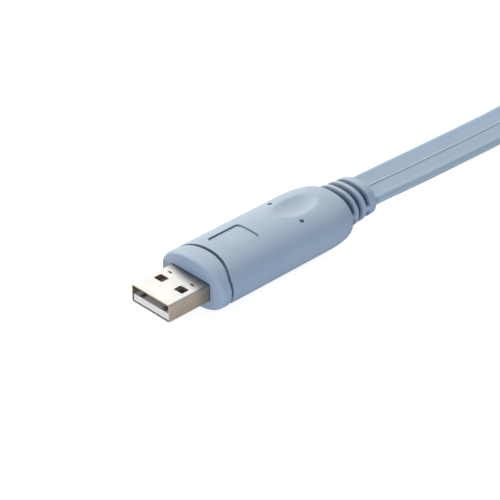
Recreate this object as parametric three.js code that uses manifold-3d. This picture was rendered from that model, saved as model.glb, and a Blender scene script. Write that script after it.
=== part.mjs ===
// A console cable: a USB-A plug with a moulded housing and strain relief, a flat ribbon cord,
// and an eight-contact modular plug on its far end. Units are millimetres.
// +X runs from the mouth of the USB plug to the cord, and +Z is up. The origin is the middle
// of the underside of the USB end, which lies on the surface z = 0.
import * as THREE from 'three';
import { mergeVertices } from 'three/addons/utils/BufferGeometryUtils.js';
import Module from 'manifold-3d';

const wasm = await Module();
wasm.setup();

// Clearances between neighbouring pieces.
const GAP = 0.3;
const SNUG = 0.15;
const OVERCUT = 1; // how far a cutting solid runs past the face it opens

// Steel shell of the USB-A plug: outside size, wall, and how far it stands out of the nose.
const SHELL = { width: 12, height: 4.5, wall: 0.3, corner: 0.55, exposed: 11.75, middle: 5.75 };
const SOCKET_DEPTH = 2;
const WINDOW = { start: 5, length: 2.15, width: 2.6, offset: 3.17, corner: 0.3 };
const LATCH_SLOT = { fromNose: 2.8, length: 0.5, width: 1.1, offset: 3.5 };

// White insulator inside the shell, with four spring contacts in grooves along its top.
const TONGUE = { recess: 0.15, top: -0.1, blockLength: 2.2 };
const CONTACT = { width: 1, thickness: 0.25, grooveDepth: 0.35, rear: 3.2 };
const CONTACT_ROWS = [
  { offset: -3.5, start: 0.6, grooveStart: 0.4 },
  { offset: -1, start: 2.3, grooveStart: 2 },
  { offset: 1, start: 2.3, grooveStart: 2 },
  { offset: 3.5, start: 0.6, grooveStart: 0.4 },
];

// Housing: superellipse sections, full size up to its shoulder, drawn in to the strain relief.
const SECTION_POWER = 2.25;
const SECTION_SIDES = 72;
const LAMP_SIDES = 16;
const DISH_SIDES = [56, 40];
const HOUSING = { halfWidth: 9.85, halfHeight: 5.85, edge: 1.3, shoulder: 33.2, length: 43.3 };
const REAR = { halfWidth: 6.8, halfHeight: 4.8, bow: 2.5 };
const SEAM = { side: 3.42, crown: 2.1, flatHalf: 2.6, rise: 3.3, power: 1.5, width: 0.8, depth: 0.9 };
const LAMP = { x: 29.1, offset: 5.05, radius: 0.55, depth: 2.5 };
const PANEL = { start: 8.2, end: 17.6, halfWidth: 3.7, corner: 1, depth: 0.35 };
const DISH = { x: 32.2, halfLength: 6.1, halfWidth: 4.2, depth: 0.85, sphere: 3.2 };

// Strain relief: a tapered sleeve with grooves down to its core.
const RELIEF = {
  end: 52.9,
  frontHalfWidth: 6.6,
  frontHalfHeight: 4.7,
  endHalfWidth: 5.95,
  endHalfHeight: 4.15,
  edge: 0.6,
};
const CORE = { halfWidth: 5.2, halfHeight: 3.3 };
const GROOVE = { count: 3, first: 43.45, width: 1.8, pitch: 2.75, bridgeHalf: 0.8 };
const RING_GROOVE = 1; // this one runs all round; the others stop at a bridge on each side

// Ribbon cord, and the hank that holds the length that is put away, wound on edge.
const RIBBON = { width: 10.1, thickness: 2.2 };
// The ribbon's rounded edge, in half thicknesses: how far in from the edge, and how high there.
const RIBBON_EDGE = [[0, 0.4], [0.32, 0.77], [0.8, 1]];
const ENTRY_DEPTH = 2;
const HANK = { start: 116, run: 145, join: 154, radius: 32, turnStep: 1.8, middle: -29, bottom: 0.9 };
const HANK_Z = HANK.bottom + RIBBON.width / 2;
const HALF_TURNS = 7;
const FOLD_STEPS = 28;
const HALF_TURN_LINE = RIBBON.thickness / 2 + 0.4; // from a turn's middle line to the hank's surface
const ON_EDGE = Math.PI / 2;
const TIE = { width: 8, wall: 0.55 };

// Modular plug of eight contacts, lying in the hank with its contacts down and its latch up.
const PLUG = {
  rear: 131.7,
  length: 21.5,
  width: 11.7,
  height: 6.6,
  backHeight: 8,
  backLength: 10.5,
  noseChamfer: 0.8,
  bottom: 0.05,
};
const BLADE = {
  pitch: 1.02,
  count: 8,
  thickness: 0.3,
  slot: 0.66,
  length: 5.2,
  height: 2.2,
  inset: 0.35,
  corner: 0.6,
};
const CORD_ENTRY = { depth: 3, middle: 2.75 };
const LATCH = {
  width: 3.3,
  paddleWidth: 6,
  thickness: 1,
  tip: 3.2,
  tipHeight: 10.6,
  stepAt: 12,
  stepHeight: 8.6,
  hinge: 0.2,
};

// Distance of the hank's n-th straight run from the hank's middle line.
const reachOfRun = (n) => HANK.radius - n * HANK.turnStep;

// The nose's front face, placed so that the USB end is centred on the origin.
const NOSE_X = -(RELIEF.end - SHELL.exposed) / 2;

// Route of the ribbon's middle from the strain relief to the hank: x, y, z, and its roll.
const LEAD = [
  [NOSE_X + RELIEF.end - ENTRY_DEPTH + GAP, 0, 5.85, 0.14],
  [36, 0, 5.78, 0.16],
  [43, 0.1, 5.42, 0.19],
  [50, 0.3, 4.97, 0.21],
  [58, 0.6, 4.45, 0.21],
  [67, 1, 3.85, 0.21],
  [76, 1.5, 3.2, 0.21],
  [86, 2.1, 2.55, 0.2],
  [95, 2.8, 2.45, 0.21],
  [104, 4, 3.1, 0.36],
  [114, 5.3, 4.5, 0.75],
  [124, 5.6, 5.35, 1.13],
  [134, 5, 5.75, 1.42],
  [144, 3.8, HANK_Z, ON_EDGE],
  [HANK.join - GAP, HANK.middle + HANK.radius, HANK_Z, ON_EDGE],
];
const TAIL = [
  [HANK.start + HANK.run - GAP, HANK.middle - reachOfRun(HALF_TURNS), HANK_Z, ON_EDGE],
  [248, -47.7, HANK_Z, ON_EDGE],
  [235, -45.3, HANK_Z, 1.55],
  [222, -41.6, 5.75, 1.42],
  [209, -37.6, 5.3, 1.15],
  [196, -34, 4.5, 0.78],
  [183, -31.3, 3.15, 0.4],
  [171, -29.8, 1.9, 0.12],
  [160, -29.1, 1.3, 0],
  [149, HANK.middle, 1.35, 0],
  [140, HANK.middle, 2, 0],
  [132.5, HANK.middle, 2.75, 0],
  [PLUG.rear - CORD_ENTRY.depth + GAP, HANK.middle, PLUG.bottom + CORD_ENTRY.middle, 0],
];
const LEAD_STEPS = 30;
const TAIL_STEPS = 34;

const signedPower = (value) => Math.sign(value) * Math.abs(value) ** (2 / SECTION_POWER);

// Any closed geometry as a solid that can be joined and cut, with its faces turned outwards.
function solid(geometry) {
  const bare = geometry.clone();
  bare.deleteAttribute('normal');
  bare.deleteAttribute('uv');
  const merged = mergeVertices(bare, 1e-4);
  const point = merged.attributes.position;
  const corners = [0, 1, 2].map(() => new THREE.Vector3());
  const triangles = [];
  let volume = 0;
  for (let i = 0; i < merged.index.count; i += 3) {
    const face = [0, 1, 2].map((k) => merged.index.getX(i + k));
    if (new Set(face).size === 3) {
      face.forEach((vertex, k) => corners[k].fromBufferAttribute(point, vertex));
      volume += corners[0].dot(corners[1].clone().cross(corners[2]));
      triangles.push(face);
    }
  }
  const outward = volume > 0 ? triangles : triangles.map((face) => [face[0], face[2], face[1]]);
  return new wasm.Manifold(new wasm.Mesh({
    numProp: 3,
    vertProperties: new Float32Array(point.array),
    triVerts: new Uint32Array(outward.flat()),
  }));
}

function meshOf(name, body, look) {
  const result = body.getMesh();
  const geometry = new THREE.BufferGeometry();
  geometry.setAttribute('position', new THREE.Float32BufferAttribute(result.vertProperties, 3));
  geometry.setIndex(Array.from(result.triVerts));
  geometry.computeVertexNormals();
  const mesh = new THREE.Mesh(geometry, new THREE.MeshStandardMaterial(look));
  mesh.name = name;
  return mesh;
}

function box(low, high) {
  const size = high.map((value, k) => value - low[k]);
  const geometry = new THREE.BoxGeometry(...size);
  geometry.translate(...low.map((value, k) => value + size[k] / 2));
  return solid(geometry);
}

function polygon(points) {
  return new THREE.Shape(points.map(([x, y]) => new THREE.Vector2(x, y)));
}

function roundedRectangle(x0, x1, y0, y1, corner) {
  const shape = new THREE.Shape();
  shape.absarc(x1 - corner, y1 - corner, corner, 0, Math.PI / 2);
  shape.absarc(x0 + corner, y1 - corner, corner, Math.PI / 2, Math.PI);
  shape.absarc(x0 + corner, y0 + corner, corner, Math.PI, Math.PI * 1.5);
  shape.absarc(x1 - corner, y0 + corner, corner, Math.PI * 1.5, Math.PI * 2);
  return shape;
}

function extruded(shape, depth) {
  return new THREE.ExtrudeGeometry(shape, { depth, bevelEnabled: false, curveSegments: 6 });
}

// A shape drawn in Y and Z, extruded along X from one position to another.
function alongX(shape, from, to) {
  const geometry = extruded(shape, to - from);
  geometry.applyMatrix4(new THREE.Matrix4().makeBasis(
    new THREE.Vector3(0, 1, 0),
    new THREE.Vector3(0, 0, 1),
    new THREE.Vector3(1, 0, 0),
  ));
  geometry.translate(from, 0, 0);
  return solid(geometry);
}

// A shape drawn in X and Z, extruded along Y on both sides of a middle plane.
function acrossY(shape, halfWidth, middle = 0) {
  const geometry = extruded(shape, 2 * halfWidth);
  geometry.rotateX(Math.PI / 2);
  geometry.translate(0, middle + halfWidth, 0);
  return solid(geometry);
}

// A shape drawn in X and Y, extruded upwards.
function upZ(shape, from, to) {
  const geometry = extruded(shape, to - from);
  geometry.translate(0, 0, from);
  return solid(geometry);
}

// A closed body whose sections across X are superellipses, one for each station.
function loft(stations, middle) {
  const rows = [stations[0], ...stations, stations[stations.length - 1]];
  const profile = rows.map((row, i) => (
    new THREE.Vector2(i === 0 || i === rows.length - 1 ? 0 : 1, row.x)
  ));
  const geometry = new THREE.LatheGeometry(profile, SECTION_SIDES);
  const point = geometry.attributes.position;
  for (let i = 0; i < point.count; i += 1) {
    const row = rows[i % rows.length];
    const across = signedPower(point.getX(i));
    const upward = signedPower(point.getZ(i));
    point.setXYZ(i, NOSE_X + row.x, row.halfWidth * across, middle + row.halfHeight * upward);
  }
  return solid(geometry);
}

// Stations of the housing's outline, drawn in by an inset all round.
function housingStations(inset = 0) {
  const edgeSteps = 5;
  const rearSteps = 12;
  const stations = [];
  for (let i = 0; i <= edgeSteps; i += 1) {
    const angle = (Math.PI / 2) * (i / edgeSteps);
    const drop = HOUSING.edge * (1 - Math.sin(angle)) + inset;
    stations.push({
      x: HOUSING.edge * (1 - Math.cos(angle)),
      halfWidth: HOUSING.halfWidth - drop,
      halfHeight: HOUSING.halfHeight - drop,
    });
  }
  for (let i = 0; i <= rearSteps; i += 1) {
    const angle = (Math.PI / 2) * (i / rearSteps);
    const along = Math.sin(angle);
    const fullness = Math.sqrt(1 - along ** REAR.bow);
    stations.push({
      x: HOUSING.shoulder + (HOUSING.length - HOUSING.shoulder) * along,
      halfWidth: REAR.halfWidth + (HOUSING.halfWidth - REAR.halfWidth) * fullness - inset,
      halfHeight: REAR.halfHeight + (HOUSING.halfHeight - REAR.halfHeight) * fullness - inset,
    });
  }
  return stations;
}

// Everything in front of the seam, which bows back over the crown above and below.
function aheadOfSeam(shift) {
  const steps = 28;
  const reach = HOUSING.halfHeight + OVERCUT;
  const shape = new THREE.Shape();
  shape.moveTo(NOSE_X - OVERCUT, -reach);
  for (let i = 0; i <= steps; i += 1) {
    const height = reach * (2 * i / steps - 1);
    const rise = Math.min(1, Math.max(0, Math.abs(height) - SEAM.flatHalf) / SEAM.rise);
    shape.lineTo(NOSE_X + SEAM.side + shift + SEAM.crown * rise ** SEAM.power, height);
  }
  shape.lineTo(NOSE_X - OVERCUT, reach);
  return acrossY(shape, HOUSING.halfWidth + OVERCUT).translate([0, 0, HOUSING.halfHeight]);
}

function shellSection(offset) {
  const halfWidth = SHELL.width / 2 + offset;
  const halfHeight = SHELL.height / 2 + offset;
  return roundedRectangle(
    -halfWidth,
    halfWidth,
    SHELL.middle - halfHeight,
    SHELL.middle + halfHeight,
    SHELL.corner + offset,
  );
}

const mouthX = NOSE_X - SHELL.exposed;
const shellRear = NOSE_X + SOCKET_DEPTH - GAP;

function usbShell() {
  let shell = alongX(shellSection(0), mouthX, shellRear)
    .subtract(alongX(shellSection(-SHELL.wall), mouthX - OVERCUT, shellRear + OVERCUT));
  for (const side of [-1, 1]) {
    const windowMiddle = side * WINDOW.offset;
    shell = shell.subtract(upZ(roundedRectangle(
      mouthX + WINDOW.start,
      mouthX + WINDOW.start + WINDOW.length,
      windowMiddle - WINDOW.width / 2,
      windowMiddle + WINDOW.width / 2,
      WINDOW.corner,
    ), SHELL.middle - SHELL.height, SHELL.middle + SHELL.height));
    const slotMiddle = side * LATCH_SLOT.offset;
    const slotX = NOSE_X - LATCH_SLOT.fromNose;
    shell = shell.subtract(box(
      [slotX - LATCH_SLOT.length / 2, slotMiddle - LATCH_SLOT.width / 2, SHELL.middle],
      [slotX + LATCH_SLOT.length / 2, slotMiddle + LATCH_SLOT.width / 2, SHELL.middle + SHELL.height],
    ));
  }
  return shell;
}

// The insulator fills the shell's lower half, and its whole height at the rear.
function usbTongue() {
  const top = SHELL.middle + TONGUE.top;
  let tongue = alongX(
    shellSection(-SHELL.wall - SNUG),
    mouthX + TONGUE.recess,
    shellRear - GAP,
  ).subtract(box(
    [mouthX - OVERCUT, -SHELL.width, top],
    [NOSE_X - TONGUE.blockLength, SHELL.width, SHELL.middle + SHELL.height],
  ));
  for (const row of CONTACT_ROWS) {
    const halfGroove = CONTACT.width / 2 + SNUG;
    tongue = tongue.subtract(box(
      [mouthX + row.grooveStart, row.offset - halfGroove, top - CONTACT.grooveDepth],
      [NOSE_X - CONTACT.rear + SNUG, row.offset + halfGroove, top + OVERCUT],
    ));
  }
  return tongue;
}

function usbContact(row) {
  const bottom = SHELL.middle + TONGUE.top - CONTACT.grooveDepth + SNUG;
  return box(
    [mouthX + row.start, row.offset - CONTACT.width / 2, bottom],
    [NOSE_X - CONTACT.rear, row.offset + CONTACT.width / 2, bottom + CONTACT.thickness],
  );
}

const outline = loft(housingStations(), HOUSING.halfHeight);

function noseCap() {
  return outline
    .intersect(aheadOfSeam(-SEAM.width / 2))
    .subtract(alongX(shellSection(SNUG), NOSE_X - OVERCUT, NOSE_X + SOCKET_DEPTH));
}

function housing() {
  const spigot = loft(housingStations(SEAM.depth), HOUSING.halfHeight)
    .subtract(aheadOfSeam(GAP - SEAM.width / 2));
  let body = outline.subtract(aheadOfSeam(SEAM.width / 2)).add(spigot);

  const top = 2 * HOUSING.halfHeight;
  for (const side of [-1, 1]) {
    const hole = new THREE.CylinderGeometry(LAMP.radius, LAMP.radius, LAMP.depth + OVERCUT, LAMP_SIDES);
    hole.rotateX(Math.PI / 2);
    hole.translate(NOSE_X + LAMP.x, side * LAMP.offset, top + (OVERCUT - LAMP.depth) / 2);
    body = body.subtract(solid(hole));
  }

  const panel = roundedRectangle(
    NOSE_X + PANEL.start,
    NOSE_X + PANEL.end,
    -PANEL.halfWidth,
    PANEL.halfWidth,
    PANEL.corner,
  );
  body = body.subtract(upZ(panel, HOUSING.halfHeight, top + OVERCUT)
    .subtract(loft(housingStations(PANEL.depth), HOUSING.halfHeight)));

  const lift = DISH.sphere - DISH.depth;
  const cut = Math.sqrt(1 - (lift / DISH.sphere) ** 2);
  const dish = new THREE.SphereGeometry(1, ...DISH_SIDES);
  dish.scale(DISH.halfLength / cut, DISH.halfWidth / cut, DISH.sphere);
  dish.translate(NOSE_X + DISH.x, 0, top + lift);
  return body.subtract(solid(dish));
}

function reliefStations() {
  const front = HOUSING.length + GAP;
  const edgeStart = RELIEF.end - RELIEF.edge;
  const edgeSteps = 4;
  const stations = [
    { x: front, halfWidth: RELIEF.frontHalfWidth, halfHeight: RELIEF.frontHalfHeight },
  ];
  for (let i = 0; i <= edgeSteps; i += 1) {
    const angle = (Math.PI / 2) * (i / edgeSteps);
    const drop = RELIEF.edge * (1 - Math.cos(angle));
    stations.push({
      x: edgeStart + RELIEF.edge * Math.sin(angle),
      halfWidth: RELIEF.endHalfWidth - drop,
      halfHeight: RELIEF.endHalfHeight - drop,
    });
  }
  return stations;
}

function ribbonSection(offset = 0) {
  const w = RIBBON.width / 2 + offset;
  const h = RIBBON.thickness / 2 + offset;
  const quarter = RIBBON_EDGE.map(([inward, height]) => [w - inward * h, height * h]);
  const back = [...quarter].reverse();
  return new THREE.Shape([
    ...quarter,
    ...back.map(([x, y]) => [-x, y]),
    ...quarter.map(([x, y]) => [-x, -y]),
    ...back.map(([x, y]) => [x, -y]),
  ].map(([x, y]) => new THREE.Vector2(x, y)));
}

function strainRelief() {
  const front = HOUSING.length + GAP;
  const core = loft([
    { x: front, ...CORE },
    { x: RELIEF.end - RELIEF.edge, ...CORE },
  ], SHELL.middle);
  let sleeve = loft(reliefStations(), SHELL.middle);
  for (let i = 0; i < GROOVE.count; i += 1) {
    const from = NOSE_X + GROOVE.first + i * GROOVE.pitch;
    const reach = HOUSING.halfWidth;
    let ring = box(
      [from, -reach, SHELL.middle - reach],
      [from + GROOVE.width, reach, SHELL.middle + reach],
    ).subtract(core);
    if (i !== RING_GROOVE) {
      ring = ring.subtract(box(
        [from - OVERCUT, -reach, SHELL.middle - GROOVE.bridgeHalf],
        [from + GROOVE.width + OVERCUT, reach, SHELL.middle + GROOVE.bridgeHalf],
      ));
    }
    sleeve = sleeve.subtract(ring);
  }
  const [x, y, z, roll] = LEAD[0];
  const entry = alongX(ribbonSection(SNUG), 0, ENTRY_DEPTH + OVERCUT)
    .rotate([THREE.MathUtils.radToDeg(roll), 0, 0])
    .translate([x - GAP, y, z]);
  return sleeve.subtract(entry);
}

// The ribbon's section carried along a route of points, turned by the roll at each of them.
function ribbon(route, steps) {
  const path = new THREE.CatmullRomCurve3(route.map(([x, y, z]) => new THREE.Vector3(x, y, z)));
  const rolls = new THREE.SplineCurve(route.map((row) => new THREE.Vector2(row[3], 0)));
  const geometry = new THREE.ExtrudeGeometry(ribbonSection(), {
    depth: 1,
    steps,
    bevelEnabled: false,
  });
  const point = geometry.attributes.position;
  for (let i = 0; i < point.count; i += 1) {
    const along = THREE.MathUtils.clamp(Math.round(point.getZ(i) * steps) / steps, 0, 1);
    const forward = path.getTangent(along);
    const left = new THREE.Vector3(-forward.y, forward.x, 0).normalize();
    const up = forward.clone().cross(left);
    const roll = rolls.getPoint(along).x;
    const across = point.getX(i) * Math.cos(roll) - point.getY(i) * Math.sin(roll);
    const raised = point.getX(i) * Math.sin(roll) + point.getY(i) * Math.cos(roll);
    const place = path.getPoint(along)
      .addScaledVector(left, across)
      .addScaledVector(up, raised);
    point.setXYZ(i, place.x, place.y, place.z);
  }
  return solid(geometry);
}

// The hank's solid: every turn from the outermost to the innermost, with the hollow they enclose.
// The outer turn begins where the lead joins it, and the inner turn ends where the tail leaves it.
function hank() {
  const { start, middle, join } = HANK;
  const end = start + HANK.run;
  const shift = HANK.turnStep / 2;
  const fold = (n) => (reachOfRun(n) + reachOfRun(n + 1)) / 2;
  // A fold round one end, from the angle at which it begins, clockwise through half a turn.
  const arc = (x, y, radius, from) => Array.from({ length: FOLD_STEPS + 1 }, (_, i) => {
    const angle = from - Math.PI * (i / FOLD_STEPS);
    return [x + radius * Math.cos(angle), y + radius * Math.sin(angle)];
  });
  const quarter = Math.PI / 2;
  const last = HALF_TURNS;
  const outside = polygon([
    [join, middle + reachOfRun(0) + HALF_TURN_LINE],
    ...arc(end, middle + shift, fold(0) + HALF_TURN_LINE, quarter),
    ...arc(start, middle - shift, fold(1) + HALF_TURN_LINE, -quarter),
    [join, middle + reachOfRun(2) + HALF_TURN_LINE],
  ]);
  const hollow = polygon([
    [end, middle - reachOfRun(last - 2) + HALF_TURN_LINE],
    ...arc(start, middle - shift, fold(last - 2) - HALF_TURN_LINE, -quarter),
    ...arc(end, middle + shift, fold(last - 1) - HALF_TURN_LINE, quarter),
  ].reverse());
  outside.holes.push(hollow);
  return upZ(outside, HANK.bottom, HANK.bottom + RIBBON.width);
}

// A strap round one side of the hank, between the two faces of that side.
function tie(inner, outer) {
  const wall = GAP + TIE.wall;
  const low = HANK.bottom;
  const high = HANK.bottom + RIBBON.width;
  const shape = roundedRectangle(inner - wall, outer + wall, low - wall, high + wall, wall);
  shape.holes.push(roundedRectangle(inner - GAP, outer + GAP, low - GAP, high + GAP, GAP));
  const middle = HANK.start + HANK.run / 2;
  return alongX(shape, middle - TIE.width / 2, middle + TIE.width / 2);
}

const bladeOffset = (i) => (i - (BLADE.count - 1) / 2) * BLADE.pitch;

// The plug is drawn with its rear face at x = 0 and its nose along +X, then turned to face -X.
const placePlug = (body) => body.rotate([0, 0, 180]).translate([PLUG.rear, HANK.middle, PLUG.bottom]);

function plugBody() {
  const { length, height, backHeight, backLength, noseChamfer, width } = PLUG;
  let body = acrossY(polygon([
    [0, 0],
    [length - noseChamfer, 0],
    [length, noseChamfer],
    [length, height],
    [backLength + (backHeight - height), height],
    [backLength, backHeight],
    [0, backHeight],
  ]), width / 2);

  const { thickness, tip, tipHeight, stepAt, stepHeight, hinge } = LATCH;
  const root = length - thickness;
  const arm = acrossY(polygon([
    [length - hinge, height - thickness],
    [length - hinge, height + thickness / 2],
    [root, height + thickness],
    [stepAt, stepHeight + thickness],
    [tip, tipHeight + thickness],
    [tip, tipHeight],
    [stepAt, stepHeight],
    [root - thickness, height + hinge],
    [root - thickness, height - thickness],
  ]), LATCH.width / 2);
  const paddle = acrossY(polygon([
    [stepAt, stepHeight],
    [stepAt, stepHeight + thickness],
    [tip, tipHeight + thickness],
    [tip, tipHeight],
  ]), LATCH.paddleWidth / 2);
  body = body.add(arm).add(paddle);

  for (let i = 0; i < BLADE.count; i += 1) {
    body = body.subtract(box(
      [length - BLADE.inset - BLADE.length - SNUG, bladeOffset(i) - BLADE.slot / 2, -OVERCUT],
      [length + OVERCUT, bladeOffset(i) + BLADE.slot / 2, BLADE.inset + BLADE.height + SNUG],
    ));
  }
  const entry = alongX(ribbonSection(SNUG), -OVERCUT, CORD_ENTRY.depth)
    .translate([0, 0, CORD_ENTRY.middle]);
  return placePlug(body.subtract(entry));
}

function plugBlade(i) {
  const front = PLUG.length - BLADE.inset;
  const bottom = BLADE.inset;
  return placePlug(acrossY(polygon([
    [front - BLADE.length, bottom],
    [front - BLADE.corner, bottom],
    [front, bottom + BLADE.corner],
    [front, bottom + BLADE.height],
    [front - BLADE.length, bottom + BLADE.height],
  ]), BLADE.thickness / 2, bladeOffset(i)));
}

const steel = { color: 0xd9d7d0, roughness: 0.28, metalness: 1 };
const whitePlastic = { color: 0xe9e8ef, roughness: 0.45, metalness: 0 };
const gold = { color: 0xd8b25a, roughness: 0.3, metalness: 1 };
const bluePlastic = { color: 0xa1b2c4, roughness: 0.55, metalness: 0 };
const blueCord = { color: 0xa6b8cc, roughness: 0.6, metalness: 0 };
const strap = { color: 0x2b2d31, roughness: 0.85, metalness: 0 };
const clearPlastic = { color: 0xe4ebf0, roughness: 0.12, metalness: 0 };

// The faces of the hank on the side that joins the lead, and on the other side.
const nearSide = [
  HANK.middle + reachOfRun(HALF_TURNS - 1) - HALF_TURN_LINE,
  HANK.middle + reachOfRun(0) + HALF_TURN_LINE,
];
const farSide = [
  HANK.middle - reachOfRun(1) - HALF_TURN_LINE,
  HANK.middle - reachOfRun(HALF_TURNS - 2) + HALF_TURN_LINE,
];

const cable = new THREE.Group();
cable.name = 'console_cable';
cable.add(
  meshOf('usb_shell', usbShell(), steel),
  meshOf('usb_tongue', usbTongue(), whitePlastic),
  ...CONTACT_ROWS.map((row, i) => meshOf(`usb_contact_${i + 1}`, usbContact(row), gold)),
  meshOf('nose_cap', noseCap(), bluePlastic),
  meshOf('housing', housing(), bluePlastic),
  meshOf('strain_relief', strainRelief(), bluePlastic),
  meshOf('ribbon_lead', ribbon(LEAD, LEAD_STEPS), blueCord),
  meshOf('ribbon_hank', hank(), blueCord),
  meshOf('ribbon_tail', ribbon(TAIL, TAIL_STEPS), blueCord),
  meshOf('tie_1', tie(...nearSide), strap),
  meshOf('tie_2', tie(...farSide), strap),
  meshOf('modular_plug', plugBody(), clearPlastic),
  ...Array.from({ length: BLADE.count }, (_, i) => (
    meshOf(`plug_contact_${i + 1}`, plugBlade(i), gold)
  )),
);

export default cable;
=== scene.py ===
# %% [markdown]
# # A console cable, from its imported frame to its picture
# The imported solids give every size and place. This lesson gives them their looks: first the
# camera and the cord, then the mouldings, the metal, the straps, the far plug, and the light.

# %% Start
import math
import bmesh
import bpy
from mathutils import Matrix, Vector


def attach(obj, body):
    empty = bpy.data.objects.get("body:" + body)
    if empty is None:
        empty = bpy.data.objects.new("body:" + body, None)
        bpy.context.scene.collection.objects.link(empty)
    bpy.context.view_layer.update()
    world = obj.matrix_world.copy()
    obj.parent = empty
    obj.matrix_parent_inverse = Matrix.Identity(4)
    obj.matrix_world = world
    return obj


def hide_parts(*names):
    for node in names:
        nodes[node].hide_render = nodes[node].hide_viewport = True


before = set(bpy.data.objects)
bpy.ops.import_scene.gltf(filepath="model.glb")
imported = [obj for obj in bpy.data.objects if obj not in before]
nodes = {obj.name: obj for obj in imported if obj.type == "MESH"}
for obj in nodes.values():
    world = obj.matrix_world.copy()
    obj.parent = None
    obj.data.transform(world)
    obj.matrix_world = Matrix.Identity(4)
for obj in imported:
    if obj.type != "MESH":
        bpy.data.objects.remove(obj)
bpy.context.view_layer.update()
print("nodes:", len(nodes))

# %% [markdown]
# ## Sizes
# The cable has a moulded end, a flat ribbon wound into a hank, and a small plug at its far end.
# Numbers could be typed where they are used, but pieces that meet then drift apart, so a size that
# two pieces share is named once. Lengths are in millimetres until a mesh is made. `NOSE_X` is
# where the nose's front face lies.

# %% Sizes of the whole
MM = 0.001
NOSE_X = -20.575
SHELL_MIDDLE = 5.75
HOUSING_MIDDLE = 5.85
RIBBON_WIDTH, RIBBON_THICKNESS = 10.1, 2.2
HANK_START, HANK_RUN, HANK_JOIN = 116.0, 145.0, 154.0
HANK_RADIUS, TURN_STEP, HANK_MIDDLE, HANK_HEIGHT = 32.0, 1.8, -29.0, 5.95
HALF_TURNS = 7
print("hank:", HALF_TURNS, "half turns, from", HANK_START, "to", HANK_START + HANK_RUN, "mm")

# %% [markdown]
# ## Camera
# The photograph looks down on the moulded end from its front left, through a long lens. A camera
# could be aimed by a constraint. Its place and angles are given outright instead, because they were
# measured from the picture together with the sizes.

# %% The photograph's view
scene = bpy.context.scene
camera_data = bpy.data.cameras.new("camera")
camera_data.sensor_width = 36.0
camera_data.lens = 163.6
camera_data.clip_end = 10.0
camera = bpy.data.objects.new("camera", camera_data)
camera.location = Vector((-298.52, -303.33, 276.30)) * MM
camera.rotation_euler = (math.radians(90 - 32.526), 0.0, math.radians(-44.287))
scene.collection.objects.link(camera)
scene.camera = camera
print("camera:", [round(x, 3) for x in camera.location])

# %% [markdown]
# ## The cord's route
# The cord is a flat ribbon, which bends only about its thin direction. Its route could be one
# curve drawn by hand. Points for the two ends and a loop for the turns between them are easier to
# read and to change. Each row is x, y, z and the ribbon's roll: the lead leaves the strain relief
# flat, comes down and makes a quarter twist, and the tail twists back from the hank to lie flat.

# %% Points of the two ends
ON_EDGE = math.pi / 2
LEAD = [
    (30.625, 0, 5.85, 0.14), (36, 0, 5.78, 0.16), (43, 0.1, 5.42, 0.19), (50, 0.3, 4.97, 0.21),
    (58, 0.6, 4.45, 0.21), (67, 1, 3.85, 0.21), (76, 1.5, 3.2, 0.21), (86, 2.1, 2.55, 0.2),
    (95, 2.8, 2.45, 0.21), (104, 4, 3.1, 0.36), (114, 5.3, 4.5, 0.75), (124, 5.6, 5.35, 1.13),
    (134, 5, 5.75, 1.42), (144, 3.8, 5.95, ON_EDGE), (153.7, 3, 5.95, ON_EDGE),
]
TAIL = [
    (260.7, -48.4, 5.95, ON_EDGE), (248, -47.7, 5.95, ON_EDGE), (235, -45.3, 5.95, 1.55),
    (222, -41.6, 5.75, 1.42), (209, -37.6, 5.3, 1.15), (196, -34, 4.5, 0.78),
    (183, -31.3, 3.15, 0.4), (171, -29.8, 1.9, 0.12), (160, -29.1, 1.3, 0), (149, -29, 1.35, 0),
    (140, -29, 2, 0), (132.5, -29, 2.75, 0), (129, -29, 2.8, 0),
]
print("points of the lead and the tail:", len(LEAD), len(TAIL))


# %% The whole route
RUN_SPACING, FOLD_STEPS, SMOOTH_STEPS = 9.0, 24, 4


def smoothed(points, steps):
    """A curve through the points, with so many steps between one and the next."""
    rows = [Vector(p) for p in points]
    rows = [rows[0] * 2 - rows[1]] + rows + [rows[-1] * 2 - rows[-2]]
    line = []
    for a, b, c, d in zip(rows, rows[1:], rows[2:], rows[3:]):
        for k in range(steps):
            t = k / steps
            line.append(0.5 * (2 * b + (c - a) * t + (2 * a - 5 * b + 4 * c - d) * t ** 2
                               + (3 * b - a - 3 * c + d) * t ** 3))
    return line + [rows[-2]]


def reach_of_run(n):
    """Distance of a run from the hank's middle line."""
    return HANK_RADIUS - n * TURN_STEP


def hank_line():
    """Straight runs on edge, joined by folds, each half turn a step further in."""
    line = []
    for n in range(HALF_TURNS):
        side = 1 if n % 2 == 0 else -1
        near, far = HANK_START, HANK_START + HANK_RUN
        begin, end = (near, far) if side > 0 else (far, near)
        begin = HANK_JOIN if n == 0 else begin
        y = HANK_MIDDLE + side * reach_of_run(n)
        count = max(2, round(abs(end - begin) / RUN_SPACING))
        for k in range(count):
            line.append((begin + (end - begin) * k / count, y))
        radius = (reach_of_run(n) + reach_of_run(n + 1)) / 2
        centre = HANK_MIDDLE + side * TURN_STEP / 2
        for k in range(FOLD_STEPS):
            angle = math.pi * k / FOLD_STEPS
            line.append((end + side * radius * math.sin(angle),
                         centre + side * radius * math.cos(angle)))
    return [Vector((x, y, HANK_HEIGHT, ON_EDGE)) for x, y in line]


lead_line = smoothed(LEAD, SMOOTH_STEPS)
tail_line = smoothed(TAIL, SMOOTH_STEPS)
route = lead_line + hank_line()[1:] + tail_line
places = [Vector(p[:3]) * MM for p in route]
cord_length = sum((b - a).length for a, b in zip(places, places[1:]))
print("route:", len(route), "points,", round(cord_length, 3), "m")


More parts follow.
